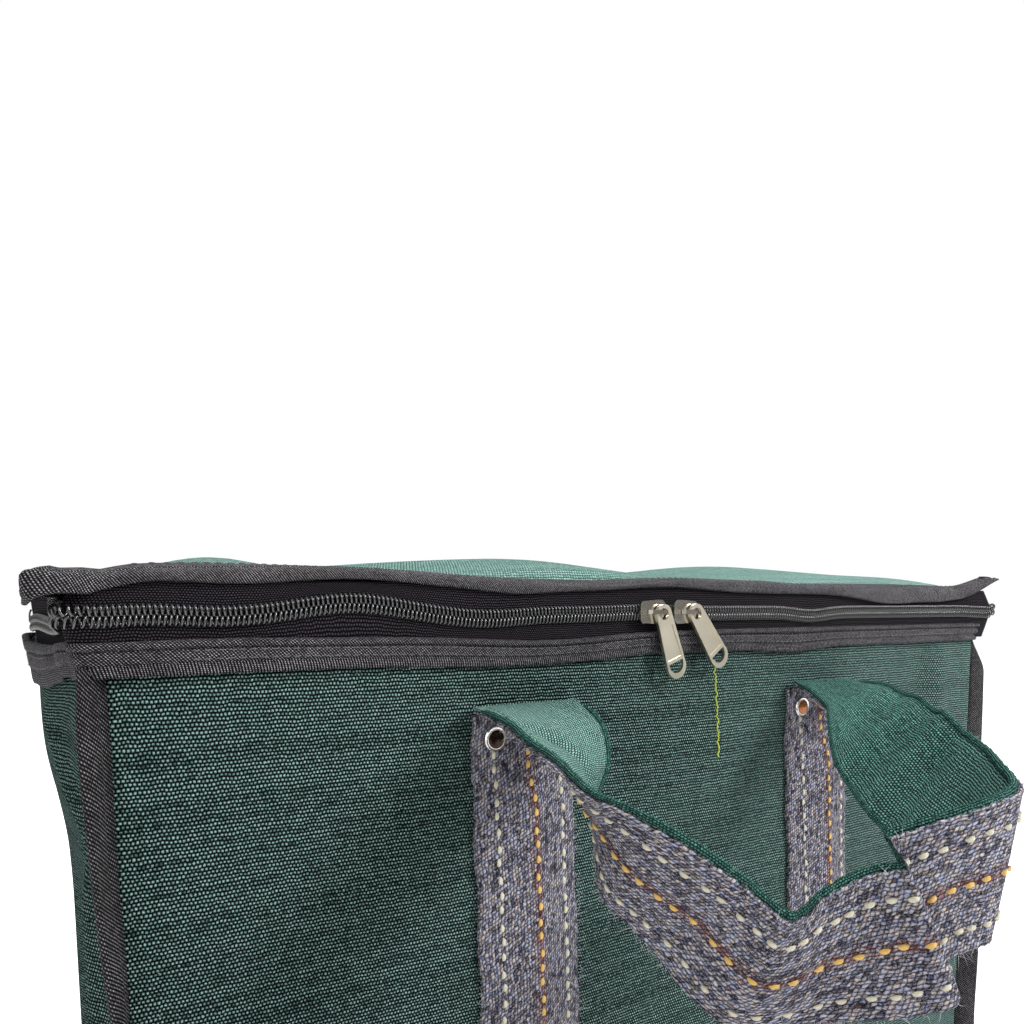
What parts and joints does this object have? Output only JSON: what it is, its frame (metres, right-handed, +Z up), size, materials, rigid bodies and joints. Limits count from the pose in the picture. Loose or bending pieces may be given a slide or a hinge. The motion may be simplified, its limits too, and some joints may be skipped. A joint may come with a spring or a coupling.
{
  "type": "tool bag",
  "caption": "Boxy canvas garden tool bag with a domed zipped lid, taped seams and two riveted webbing carry handles that droop in loops from sewn straps.",
  "frame": {"origin": "middle of the underside of the bag, on the surface it stands on", "axes": "+Z up, the front face with the sliders towards -Y, +X to the right as seen from the front"},
  "size_m": [0.5, 0.4926, 0.3496],
  "materials": {
    "canvas": "coarse plain-weave cotton duck, dark bottle green",
    "binding": "black ribbed twill tape",
    "zip_tape": "fine black woven zip tape",
    "coil": "black nylon coil, slight sheen",
    "webbing": "hand-woven grey heather webbing with cream and yellow dashes",
    "nickel": "warm nickel plate, soft gloss",
    "board": "plain dark board"
  },
  "bodies": {
    "bag": {"front_panel": "canvas", "back_panel": "canvas", "left_gusset": "canvas", "right_gusset": "canvas", "base_panel": "canvas", "inner_pocket": "canvas", "base_binding": "binding", "corner_binding_front_left": "binding", "corner_binding_front_right": "binding", "corner_binding_back_left": "binding", "corner_binding_back_right": "binding", "rim_binding": "binding", "lower_hinge_strip": "binding", "lower_zip_tape": "zip_tape", "lower_coil": "coil", "strap_front_left": "webbing", "strap_front_right": "webbing", "strap_back_left": "webbing", "strap_back_right": "webbing", "rivet_front_left_1": "nickel", "rivet_front_left_2": "nickel", "rivet_front_right_1": "nickel", "rivet_front_right_2": "nickel", "rivet_back_left_1": "nickel", "rivet_back_left_2": "nickel", "rivet_back_right_1": "nickel", "rivet_back_right_2": "nickel", "burr_front_left_1": "nickel", "burr_front_left_2": "nickel", "burr_front_right_1": "nickel", "burr_front_right_2": "nickel", "burr_back_left_1": "nickel", "burr_back_left_2": "nickel", "burr_back_right_1": "nickel", "burr_back_right_2": "nickel", "base_board": "board"},
    "lid": {"lid_panel": "canvas", "lid_binding": "binding", "upper_hinge_strip": "binding", "upper_zip_tape": "zip_tape", "upper_coil": "coil"},
    "left_slider": {"left_slider": "nickel"},
    "right_slider": {"right_slider": "nickel"},
    "left_pull": {"left_pull": "nickel"},
    "right_pull": {"right_pull": "nickel"},
    "front_handle": {"front_handle_webbing": "webbing", "front_handle_lining": "canvas"},
    "back_handle": {"back_handle_webbing": "webbing", "back_handle_lining": "canvas"}
  },
  "joints": [
    {"name": "lid_hinge", "type": "hinge", "parent": "bag", "child": "lid", "pos_m": [0, 0.0924, 0.328], "axis": [1, 0, 0], "range_deg": [-150, 0]},
    {"name": "front_handle_fold", "type": "hinge", "parent": "bag", "child": "front_handle", "pos_m": [0, -0.0928, 0.2917], "axis": [1, 0, 0], "range_deg": [-80, 0]},
    {"name": "back_handle_fold", "type": "hinge", "parent": "bag", "child": "back_handle", "pos_m": [0, 0.0928, 0.2917], "axis": [1, 0, 0], "range_deg": [0, 80]},
    {"name": "left_slider_run", "type": "slide", "parent": "bag", "child": "left_slider", "axis": [1, 0, 0], "range_m": [-0.19, 0]},
    {"name": "right_slider_run", "type": "slide", "parent": "bag", "child": "right_slider", "axis": [1, 0, 0], "range_m": [0, 0.212]},
    {"name": "left_pull_swing", "type": "hinge", "parent": "left_slider", "child": "left_pull", "pos_m": [-0.0225, -0.0967, 0.328], "axis": [0, 1, 0], "range_deg": [0, 55]},
    {"name": "right_pull_swing", "type": "hinge", "parent": "right_slider", "child": "right_pull", "pos_m": [-0.003, -0.0967, 0.328], "axis": [0, 1, 0], "range_deg": [-50, 0]}
  ]
}
